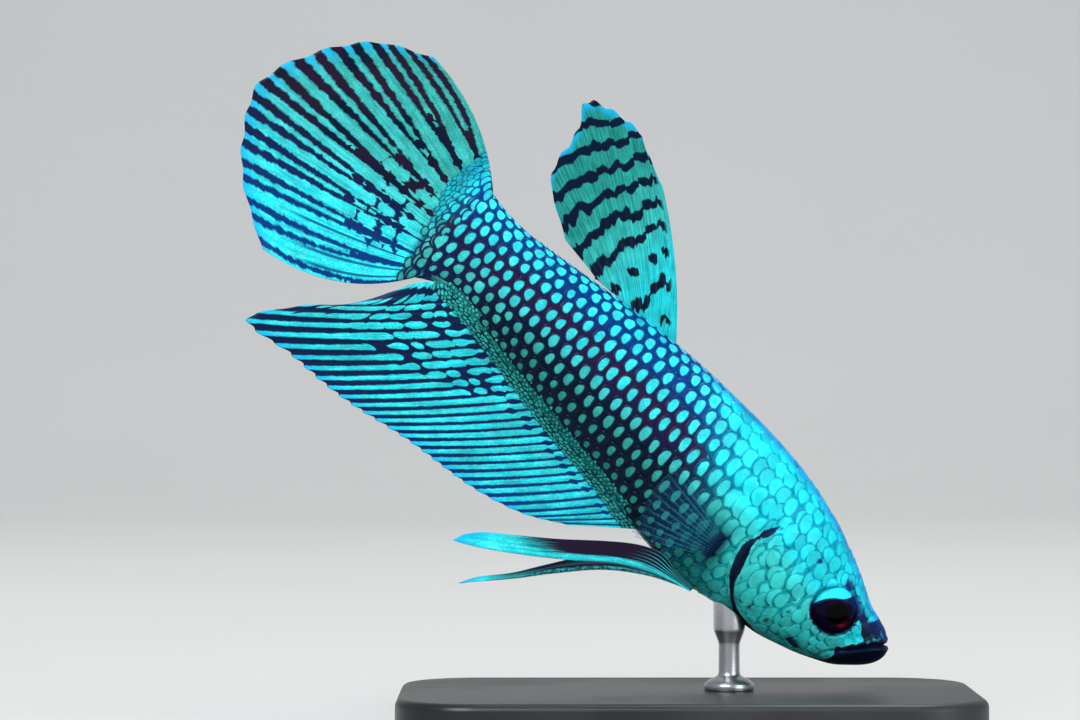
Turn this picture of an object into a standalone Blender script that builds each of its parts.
"""A life-size still model of a short-finned fighting fish (betta), diving, on a plain stand.

The fish is drawn level in its own frame, in millimetres: +X towards the snout, +Y to its left,
+Z up through its back, with the origin at the mouth.  An empty then pitches it nose-down and
sets it over the stand.  The model's origin is the centre of the stand's underside.
"""
import math

import bmesh
import bpy
from mathutils import Matrix, Vector

MM = 0.001

# Pose and stand (millimetres, degrees)
NOSE_DOWN = 43.0
SNOUT_AT = (15.0, 0.0, 7.44)
BASE_LENGTH = 44.0
BASE_WIDTH = 26.0
BASE_HEIGHT = 4.0
BASE_CORNER = 6.0
BASE_EDGE = 0.6
ROD_AT_X = 3.1
ROD_RADIUS = 0.8
ROD_FOOT_RADIUS = 1.9
ROD_CUP_RADIUS = 1.2
ROD_TOP = 12.5

# Clearance between pieces that touch
GAP = 0.28

# The body: distance along the fish (0 at the mouth, negative towards the tail), the levels of
# back and belly, the half width, and the level at which the body is widest.
SNOUT_TIP = 0.45
TAIL_STALK_END = -45.4
BODY = (
    (0.45, -0.70, -0.70, 0.00, -0.70),
    (0.00, 0.00, -1.95, 1.02, -0.95),
    (-1.00, 0.78, -3.00, 1.50, -1.10),
    (-2.00, 1.20, -3.85, 1.82, -1.20),
    (-3.00, 1.52, -4.45, 2.12, -1.25),
    (-4.50, 2.40, -5.15, 2.48, -1.15),
    (-6.00, 3.13, -5.65, 2.82, -1.00),
    (-8.00, 3.97, -6.20, 3.22, -0.95),
    (-10.00, 4.62, -6.38, 3.50, -0.95),
    (-12.00, 5.15, -6.62, 3.66, -0.90),
    (-14.00, 5.52, -6.95, 3.72, -0.80),
    (-17.00, 5.85, -6.90, 3.70, -0.60),
    (-20.00, 5.98, -6.55, 3.58, -0.40),
    (-25.00, 6.00, -5.75, 3.20, -0.05),
    (-30.00, 5.68, -5.15, 2.68, 0.20),
    (-35.00, 5.08, -4.30, 2.10, 0.35),
    (-40.00, 4.48, -3.40, 1.52, 0.45),
    (-43.00, 4.40, -3.10, 1.18, 0.45),
    (-45.40, 4.75, -4.10, 0.80, 0.30),
)
BODY_RINGS = 34
BODY_SIDES = 24

# How sharply a cross-section narrows to its back and its belly (1 is a plain ellipse)
BACK_SHARPNESS = ((0.45, 1.0), (-12.0, 1.0), (-28.0, 1.15), (-46.0, 1.1))
BELLY_SHARPNESS = ((0.45, 1.0), (-14.0, 1.0), (-24.0, 1.35), (-46.0, 1.3))

# Head pieces, as outlines in the fish's side view
HEAD_REAR = ((-10.9, 8.0), (-11.2, 5.0), (-11.8, 1.8), (-12.3, 0.3), (-12.85, -1.1), (-12.65, -2.5),
             (-12.1, -4.0), (-11.1, -5.2), (-10.1, -5.95), (-9.5, -8.5))
GILL_COVER = ((-11.6, 1.9), (-12.3, 0.3), (-12.85, -1.1), (-12.65, -2.5), (-12.1, -4.0),
              (-11.1, -5.2), (-10.1, -5.95), (-9.5, -7.2), (-7.4, -6.9), (-7.0, -4.8), (-7.5, -2.4),
              (-7.9, -0.4), (-8.6, 1.5), (-10.1, 2.2))
GILL_COVER_DEPTH = 0.75
GILL_COVER_KEEL = 0.45
JAW = ((1.5, -0.35), (0.2, -0.62), (-1.3, -1.60), (-2.5, -2.70), (-3.4, -3.9), (-4.2, -6.5),
       (1.5, -6.5))
TRUNK_END = -33.0

# Eyes
EYE_AT = (-5.00, 1.72, -0.77)
EYE_TURN = 13.0
EYE_RADIUS = 1.75
EYE_HALF_DEPTH = 1.12

# Fins.  Each row: how far round the fin (0 to 1), then the base point and the ray's tip, then
# how far the ray bows out of the straight line between them, towards the back (or, where it is
# negative, towards the belly).
DORSAL_FIN = (
    (0.00, -27.8, 6.35, -36.0, 13.80, 0.45),
    (0.12, -28.8, 6.30, -38.7, 15.00, 0.60),
    (0.25, -29.8, 6.22, -40.6, 15.75, 0.60),
    (0.50, -31.8, 6.00, -44.7, 14.75, 0.40),
    (0.62, -32.8, 5.88, -43.7, 12.60, 0.30),
    (0.82, -34.4, 5.65, -42.7, 8.60, 0.10),
    (1.00, -35.8, 5.46, -38.7, 5.90, 0.00),
)
ANAL_FIN = (
    (0.00, -20.4, -6.95, -23.9, -9.80, 0.00),
    (0.10, -22.5, -6.60, -27.0, -11.50, -0.10),
    (0.20, -24.9, -6.15, -30.9, -12.45, -0.15),
    (0.40, -29.5, -5.60, -37.0, -13.10, -0.20),
    (0.60, -34.2, -4.85, -43.2, -14.20, -0.25),
    (0.74, -37.7, -4.20, -48.0, -14.45, -0.30),
    (0.85, -40.2, -3.75, -52.3, -14.90, -0.35),
    (0.92, -41.8, -3.60, -49.6, -11.45, -0.30),
    (0.96, -42.6, -3.60, -47.1, -8.95, -0.10),
    (1.00, -43.6, -3.55, -45.3, -5.40, 0.20),
)
TAIL_FIN = (
    (0.00, -45.75, 4.90, -55.2, 8.85, 1.00),
    (0.17, -45.80, 3.30, -58.9, 6.85, 0.30),
    (0.33, -45.90, 1.80, -61.5, 3.55, 0.00),
    (0.50, -45.95, 0.20, -63.3, -0.90, 0.00),
    (0.67, -45.90, -1.30, -61.8, -4.45, -0.05),
    (0.83, -45.80, -2.80, -59.1, -7.40, -0.30),
    (1.00, -45.70, -4.20, -54.9, -10.15, -1.55),
)
DORSAL_RAYS = 11
ANAL_RAYS = 25
TAIL_RAYS = 19
RAY_HALF_THICKNESS = 0.34
WEB_HALF_THICKNESS = 0.26
FRAY = 0.12
TAIL_SWING = -1.6

# Pectoral fins: the root on the flank, the ray length and the fan between two directions
PECTORAL_ROOT = (-14.7, 3.4, -3.3)
PECTORAL_ROOT_HEIGHT = 1.9
PECTORAL_TOP_RAY = (-6.3, 0.55, 1.6)
PECTORAL_LOW_RAY = (-5.0, 0.45, -2.7)
PECTORAL_RAYS = 10

# Pelvic fins: the spine line, the height of the blade above it, and its half thickness
PELVIC_RIGHT = (
    (0.00, -13.8, -0.95, -7.15, 0.35, 0.28),
    (0.15, -16.0, -1.35, -7.75, 0.60, 0.26),
    (0.35, -19.0, -1.75, -9.15, 1.10, 0.26),
    (0.55, -21.9, -2.05, -11.35, 1.60, 0.26),
    (0.75, -24.9, -2.20, -13.45, 1.50, 0.26),
    (0.90, -27.6, -2.25, -15.25, 1.15, 0.26),
    (1.00, -29.6, -2.30, -16.30, 0.40, 0.26),
)
PELVIC_LEFT = (
    (0.00, -13.8, 0.95, -7.15, 0.35, 0.28),
    (0.20, -16.8, 1.50, -8.55, 0.60, 0.26),
    (0.40, -19.6, 2.10, -10.55, 1.00, 0.26),
    (0.60, -22.3, 2.60, -13.35, 1.15, 0.26),
    (0.80, -24.8, 2.95, -16.30, 0.80, 0.26),
    (1.00, -26.9, 3.20, -18.60, 0.30, 0.26),
)

COLOURS = {
    "head": (0.05, 0.62, 0.62),
    "lower_jaw": (0.02, 0.06, 0.16),
    "gill_cover": (0.04, 0.62, 0.58),
    "trunk": (0.03, 0.50, 0.56),
    "tail_stalk": (0.03, 0.42, 0.42),
    "eye": (0.01, 0.01, 0.02),
    "fin": (0.02, 0.45, 0.52),
    "pelvic": (0.05, 0.45, 0.60),
    "pectoral": (0.35, 0.55, 0.60),
    "stand_base": (0.03, 0.03, 0.035),
    "stand_rod": (0.75, 0.76, 0.78),
}


def smooth(rows, at, column=1):
    """Read one column of a table at a place in its first column, along a smooth curve."""
    rows = sorted(rows)
    places = [row[0] for row in rows]
    values = [row[column] for row in rows]
    last = len(rows) - 1
    if at <= places[0]:
        return values[0]
    if at >= places[last]:
        return values[last]
    i = max(k for k in range(last) if places[k] <= at)

    def slope(k):
        before = max(k - 1, 0)
        after = min(k + 1, last)
        return (values[after] - values[before]) / (places[after] - places[before])

    span = places[i + 1] - places[i]
    t = (at - places[i]) / span
    rise = values[i + 1] - values[i]
    ease = t * t * (3 - 2 * t)
    bend_in = t * (1 - t) ** 2 * slope(i) * span
    bend_out = t * t * (1 - t) * slope(i + 1) * span
    return values[i] + rise * ease + bend_in - bend_out


def body_value(x, column):
    """A body column at x.  It is read against the root of the distance, so the snout is round."""
    rows = [(math.sqrt(SNOUT_TIP - row[0]),) + row[1:] for row in BODY]
    return smooth(rows, math.sqrt(max(SNOUT_TIP - x, 0.0)), column)


def body_point(x, turn, inset=0.0):
    """A point on the body, turned from the back (0) over its left side to the belly (pi)."""
    back = body_value(x, 1) - inset
    belly = body_value(x, 2) + inset
    half_width = max(body_value(x, 3) - inset, 0.02)
    widest = body_value(x, 4)
    up = math.cos(turn)
    out = math.sin(turn)
    sharpness = smooth(BACK_SHARPNESS if up > 0 else BELLY_SHARPNESS, x)
    z = widest + up * ((back - widest) if up > 0 else (widest - belly))
    y = half_width * math.copysign(abs(out) ** sharpness, out)
    return Vector((x, y, z))


def pose_empty():
    """The empty that pitches the fish nose-down and holds it over the stand."""
    pose = bpy.data.objects.new("fish_pose", None)
    bpy.context.collection.objects.link(pose)
    pose.location = Vector(SNOUT_AT) * MM
    pose.rotation_euler.y = math.radians(NOSE_DOWN)
    return pose


def material(name, roughness=0.4, metallic=0.0):
    made = bpy.data.materials.new(name)
    made.use_nodes = True
    shader = made.node_tree.nodes["Principled BSDF"]
    shader.inputs["Base Color"].default_value = (*COLOURS[name], 1.0)
    shader.inputs["Roughness"].default_value = roughness
    shader.inputs["Metallic"].default_value = metallic
    return made


def add_object(name, bm, finish=None, parent=None):
    """Turn a bmesh in millimetres into an object in metres."""
    bmesh.ops.recalc_face_normals(bm, faces=bm.faces)
    bmesh.ops.scale(bm, vec=(MM, MM, MM), verts=bm.verts)
    mesh = bpy.data.meshes.new(name)
    bm.to_mesh(mesh)
    bm.free()
    mesh.shade_smooth()
    mesh.set_sharp_from_angle(angle=math.radians(35))
    made = bpy.data.objects.new(name, mesh)
    bpy.context.collection.objects.link(made)
    made.parent = parent
    if finish:
        mesh.materials.append(finish)
    return made


def as_helper(made):
    """Mark a cutter, which is left out of the model."""
    made.hide_render = True
    made.display_type = "WIRE"
    return made


def boolean(target, cutter, operation):
    step = target.modifiers.new(operation.lower(), "BOOLEAN")
    step.operation = operation
    step.object = cutter
    step.solver = "EXACT"


def body_bmesh(inset=0.0):
    """The whole body as one closed loft, or the same body a little thinner or thicker."""
    bm = bmesh.new()
    front = SNOUT_TIP - inset
    length = front - TAIL_STALK_END - inset
    rings = []
    for ring in range(1, BODY_RINGS + 1):
        x = front - length * (ring / BODY_RINGS) ** 1.6
        turns = [math.tau * side / BODY_SIDES for side in range(BODY_SIDES)]
        rings.append([bm.verts.new(body_point(x, turn, inset)) for turn in turns])
    tip = bm.verts.new((front, 0.0, body_value(SNOUT_TIP, 1)))
    for side in range(BODY_SIDES):
        after = (side + 1) % BODY_SIDES
        bm.faces.new((tip, rings[0][side], rings[0][after]))
        for ahead, behind in zip(rings, rings[1:]):
            bm.faces.new((ahead[side], behind[side], behind[after], ahead[after]))
    bm.faces.new(rings[-1])
    return bm


def rounded(outline, steps=3):
    """The same outline with its corners eased: points along a smooth curve through them."""
    count = len(outline)
    points = []
    for i in range(count - 1):
        near = [Vector(outline[min(max(i + k, 0), count - 1)]) for k in (-1, 0, 1, 2)]
        for step in range(steps):
            t = step / steps
            ahead = (near[2] - near[0]) * 0.5
            behind = (near[3] - near[1]) * 0.5
            points.append(near[1] * (1 + 2 * t) * (1 - t) ** 2 + near[2] * t * t * (3 - 2 * t)
                          + ahead * t * (1 - t) ** 2 - behind * t * t * (1 - t))
    points.append(Vector(outline[-1]))
    return points


def prism(name, outline, y_low, y_high, parent):
    """A cutter: an outline in the side view, drawn out across the fish."""
    bm = bmesh.new()
    face = bm.faces.new([bm.verts.new((x, y_low, z)) for x, z in outline])
    grown = bmesh.ops.extrude_face_region(bm, geom=[face])
    moved = [item for item in grown["geom"] if isinstance(item, bmesh.types.BMVert)]
    bmesh.ops.translate(bm, vec=(0, y_high - y_low, 0), verts=moved)
    return as_helper(add_object(name, bm, parent=parent))


def widened(outline, by):
    """Move a closed outline's points out from its edges, each along its own corner's bisector."""
    points = [Vector(point) for point in outline]
    count = len(points)
    area = sum(points[i].x * points[(i + 1) % count].y - points[(i + 1) % count].x * points[i].y
               for i in range(count))
    turn = 1 if area > 0 else -1
    moved = []
    for i in range(count):
        before = (points[i] - points[i - 1]).normalized()
        after = (points[(i + 1) % count] - points[i]).normalized()
        along = (before + after).normalized()
        reach = by / max(along.dot(after), 0.4)
        moved.append(points[i] + Vector((along.y, -along.x)) * reach * turn)
    return moved


def ellipsoid(name, centre, radii, turn, parent, finish=None):
    """An eyeball, its depth along Y, turned about the upright axis so that it looks forward."""
    bm = bmesh.new()
    sideways = Matrix.Rotation(math.radians(90), 4, "X")
    bmesh.ops.create_uvsphere(bm, u_segments=16, v_segments=10, radius=1.0, matrix=sideways)
    bmesh.ops.scale(bm, vec=radii, verts=bm.verts)
    look = Matrix.Rotation(math.radians(turn), 3, "Z")
    bmesh.ops.rotate(bm, matrix=look, verts=bm.verts)
    bmesh.ops.translate(bm, vec=centre, verts=bm.verts)
    return add_object(name, bm, finish, parent)


def plate(name, grid, half_thickness, parent, finish):
    """A closed plate about a grid of points in space, with its own half thickness at each."""
    columns = len(grid)
    rows = len(grid[0])
    bm = bmesh.new()
    sides = []
    for sign in (-1, 1):
        side = []
        for i in range(columns):
            line = []
            for j in range(rows):
                across = grid[min(i + 1, columns - 1)][j] - grid[max(i - 1, 0)][j]
                along = grid[i][min(j + 1, rows - 1)] - grid[i][max(j - 1, 0)]
                normal = across.cross(along).normalized()
                line.append(bm.verts.new(grid[i][j] + normal * sign * half_thickness[i][j]))
            side.append(line)
        sides.append(side)
        for i in range(columns - 1):
            for j in range(rows - 1):
                bm.faces.new((side[i][j], side[i + 1][j], side[i + 1][j + 1], side[i][j + 1]))
    rim = [(i, 0) for i in range(columns)]
    rim += [(columns - 1, j) for j in range(1, rows)]
    rim += [(i, rows - 1) for i in range(columns - 2, -1, -1)]
    rim += [(0, j) for j in range(rows - 2, 0, -1)]
    for (i, j), (k, m) in zip(rim, rim[1:] + rim[:1]):
        bm.faces.new((sides[0][i][j], sides[0][k][m], sides[1][k][m], sides[1][i][j]))
    return add_object(name, bm, finish, parent)


def upright_fin(name, table, rays, rows, sway, parent, finish):
    """A fin in the fish's middle plane, fanned from its base, with its rays as low ribs."""
    columns = 2 * rays + 1
    grid = []
    thickness = []
    for i in range(columns):
        u = i / (columns - 1)
        on_ray = i % 2 == 1
        base = Vector((smooth(table, u, 1), 0.0, smooth(table, u, 2)))
        tip = Vector((smooth(table, u, 3), 0.0, smooth(table, u, 4)))
        along = (tip - base).normalized()
        towards_back = Vector((along.z, 0.0, -along.x))
        if on_ray:
            tip += along * FRAY
        bow = smooth(table, u, 5)
        line = []
        for j in range(rows):
            v = j / (rows - 1)
            point = base.lerp(tip, v) + towards_back * bow * 4 * v * (1 - v)
            point.y = sway(u, v)
            line.append(point)
        grid.append(line)
        half = RAY_HALF_THICKNESS if on_ray else WEB_HALF_THICKNESS
        thickness.append([half] * rows)
    return plate(name, grid, thickness, parent, finish)


def dorsal_sway(u, v):
    return 0.9 * v * v * math.sin(2.2 * u + 0.4)


def anal_sway(u, v):
    return 0.8 * v * v * math.sin(5.5 * u + 2.6) - 0.5 * v * v


def tail_sway(u, v):
    return TAIL_SWING * v * v + 0.5 * v * v * math.sin(9.0 * u)


def pectoral_fin(name, side, parent, finish):
    """A glassy fan laid back along the flank; side is 1 for the fish's left, -1 for its right."""
    columns = 2 * PECTORAL_RAYS + 1
    rows = 6
    top_ray = Vector(PECTORAL_TOP_RAY)
    low_ray = Vector(PECTORAL_LOW_RAY)
    grid = []
    thickness = []
    for i in range(columns):
        u = i / (columns - 1)
        root = Vector(PECTORAL_ROOT)
        root.z += PECTORAL_ROOT_HEIGHT * (0.5 - u)
        root.y = body_value(root.x, 3) + GAP + RAY_HALF_THICKNESS
        ray = top_ray.lerp(low_ray, u) * (1.0 + 0.12 * math.sin(math.pi * u))
        line = []
        for j in range(rows):
            v = j / (rows - 1)
            point = root + ray * v
            point.y += 0.35 * math.sin(math.pi * u) * v
            point.y *= side
            line.append(point)
        grid.append(line)
        half = RAY_HALF_THICKNESS if i % 2 else WEB_HALF_THICKNESS
        thickness.append([half] * rows)
    return plate(name, grid, thickness, parent, finish)


def pelvic_fin(name, table, parent, finish):
    """A long narrow blade: a stout spine below and a soft edge above."""
    columns = 21
    across = 4
    grid = []
    thickness = []
    for i in range(columns):
        u = i / (columns - 1)
        spine = Vector([smooth(table, u, k) for k in (1, 2, 3)])
        height = smooth(table, u, 4)
        half = smooth(table, u, 5)
        line = []
        for j in range(across):
            line.append(spine + Vector((0.35, 0.0, 1.0)) * height * j / (across - 1))
        grid.append(line)
        thickness.append([half + 0.08, half + 0.02, half, half])
    return plate(name, grid, thickness, parent, finish)


def stand_base(finish):
    """A flat plate with round corners and an eased upper edge, resting at Z = 0."""
    bm = bmesh.new()
    outline = []
    for corner in range(4):
        centre_x = (BASE_LENGTH / 2 - BASE_CORNER) * (1 if corner in (0, 3) else -1)
        centre_y = (BASE_WIDTH / 2 - BASE_CORNER) * (1 if corner in (0, 1) else -1)
        for step in range(7):
            turn = math.pi / 2 * (corner + step / 6)
            outline.append((centre_x + BASE_CORNER * math.cos(turn),
                            centre_y + BASE_CORNER * math.sin(turn), 0.0))
    face = bm.faces.new([bm.verts.new(point) for point in outline])
    grown = bmesh.ops.extrude_face_region(bm, geom=[face])
    moved = [item for item in grown["geom"] if isinstance(item, bmesh.types.BMVert)]
    bmesh.ops.translate(bm, vec=(0, 0, BASE_HEIGHT), verts=moved)
    rim = [edge for edge in bm.edges if all(vert.co.z > BASE_HEIGHT / 2 for vert in edge.verts)]
    bmesh.ops.bevel(bm, geom=rim, offset=BASE_EDGE, segments=2, profile=0.5, affect="EDGES")
    return add_object("stand_base", bm, finish)


def stand_rod(body_clearance, finish):
    """A short turned rod: a round foot on the base, a shaft, and a cup cut to the throat."""
    profile = (
        (ROD_FOOT_RADIUS, 0.0),
        (ROD_FOOT_RADIUS, 0.5),
        (ROD_FOOT_RADIUS - 0.5, 0.9),
        (ROD_RADIUS, 1.2),
        (ROD_RADIUS, 3.6),
        (ROD_CUP_RADIUS, 4.6),
        (ROD_CUP_RADIUS, ROD_TOP - BASE_HEIGHT - GAP),
    )
    bm = bmesh.new()
    sides = 24
    rings = []
    for radius, height in profile:
        rings.append([bm.verts.new((radius * math.cos(math.tau * k / sides),
                                    radius * math.sin(math.tau * k / sides), height))
                      for k in range(sides)])
    for low, high in zip(rings, rings[1:]):
        for k in range(sides):
            after = (k + 1) % sides
            bm.faces.new((low[k], low[after], high[after], high[k]))
    bm.faces.new(rings[0])
    bm.faces.new(rings[-1])
    rod = add_object("stand_rod", bm, finish)
    rod.location = (ROD_AT_X * MM, 0.0, (BASE_HEIGHT + GAP) * MM)
    boolean(rod, body_clearance, "DIFFERENCE")
    return rod


def build_fish(pose):
    head_front = [(3.0, -9.0), (3.0, 8.0)]
    head_rear = [tuple(point) for point in rounded(HEAD_REAR)]
    trunk_front = [(x - GAP, z) for x, z in head_rear]
    gill = [tuple(point) for point in rounded(GILL_COVER + GILL_COVER[:1])][:-1]
    jaw = [tuple(point) for point in rounded(JAW[:6])] + [JAW[6]]

    head_zone = prism("head_zone", head_rear + head_front, -9, 9, pose)
    trunk_zone = prism("trunk_zone", trunk_front + [(TRUNK_END, -9), (TRUNK_END, 8)], -9, 9, pose)
    stalk_zone = prism("stalk_zone", [(TRUNK_END - GAP, 8), (TRUNK_END - GAP, -9), (-60, -9),
                                      (-60, 8)], -9, 9, pose)
    jaw_zone = prism("jaw_zone", jaw, -9, 9, pose)
    jaw_room = prism("jaw_room", widened(jaw, GAP), -9, 9, pose)

    head = add_object("head", body_bmesh(), material("head"), pose)
    boolean(head, head_zone, "INTERSECT")
    boolean(head, jaw_room, "DIFFERENCE")
    lower_jaw = add_object("lower_jaw", body_bmesh(), material("lower_jaw"), pose)
    boolean(lower_jaw, jaw_zone, "INTERSECT")

    cover_finish = material("gill_cover")
    eye_finish = material("eye", 0.08)
    core = as_helper(add_object("core", body_bmesh(GILL_COVER_DEPTH), parent=pose))
    room_core = as_helper(add_object("room_core", body_bmesh(GILL_COVER_DEPTH + GAP), parent=pose))
    for word, side in (("right", -1), ("left", 1)):
        span = sorted((side * GILL_COVER_KEEL, side * 9))
        room_span = sorted((side * (GILL_COVER_KEEL - GAP), side * 9))
        zone = prism("gill_zone_" + word, gill, *span, pose)
        room = prism("gill_room_" + word, widened(gill, GAP), *room_span, pose)
        boolean(room, room_core, "DIFFERENCE")
        cover = add_object("gill_cover_" + word, body_bmesh(), cover_finish, pose)
        boolean(cover, zone, "INTERSECT")
        boolean(cover, core, "DIFFERENCE")
        boolean(head, room, "DIFFERENCE")
        centre = (EYE_AT[0], EYE_AT[1] * side, EYE_AT[2])
        radii = (EYE_RADIUS, EYE_HALF_DEPTH, EYE_RADIUS)
        turn = -side * EYE_TURN
        ellipsoid("eye_" + word, centre, radii, turn, pose, eye_finish)
        room_radii = [radius + GAP for radius in radii]
        socket = ellipsoid("socket_" + word, centre, room_radii, turn, pose)
        boolean(head, as_helper(socket), "DIFFERENCE")

    trunk = add_object("trunk", body_bmesh(), material("trunk"), pose)
    boolean(trunk, trunk_zone, "INTERSECT")
    stalk = add_object("tail_stalk", body_bmesh(), material("tail_stalk"), pose)
    boolean(stalk, stalk_zone, "INTERSECT")

    fin_finish = material("fin", 0.35)
    upright_fin("dorsal_fin", DORSAL_FIN, DORSAL_RAYS, 8, dorsal_sway, pose, fin_finish)
    upright_fin("anal_fin", ANAL_FIN, ANAL_RAYS, 5, anal_sway, pose, fin_finish)
    upright_fin("tail_fin", TAIL_FIN, TAIL_RAYS, 8, tail_sway, pose, fin_finish)
    pectoral_finish = material("pectoral", 0.2)
    pectoral_fin("pectoral_fin_right", -1, pose, pectoral_finish)
    pectoral_fin("pectoral_fin_left", 1, pose, pectoral_finish)
    pelvic_finish = material("pelvic", 0.35)
    pelvic_fin("pelvic_fin_right", PELVIC_RIGHT, pose, pelvic_finish)
    pelvic_fin("pelvic_fin_left", PELVIC_LEFT, pose, pelvic_finish)


def build():
    for old in list(bpy.data.objects):
        bpy.data.objects.remove(old)
    pose = pose_empty()
    build_fish(pose)
    clearance = as_helper(add_object("body_clearance", body_bmesh(-GAP), parent=pose))
    stand_base(material("stand_base", 0.35))
    stand_rod(clearance, material("stand_rod", 0.25, 1.0))


build()
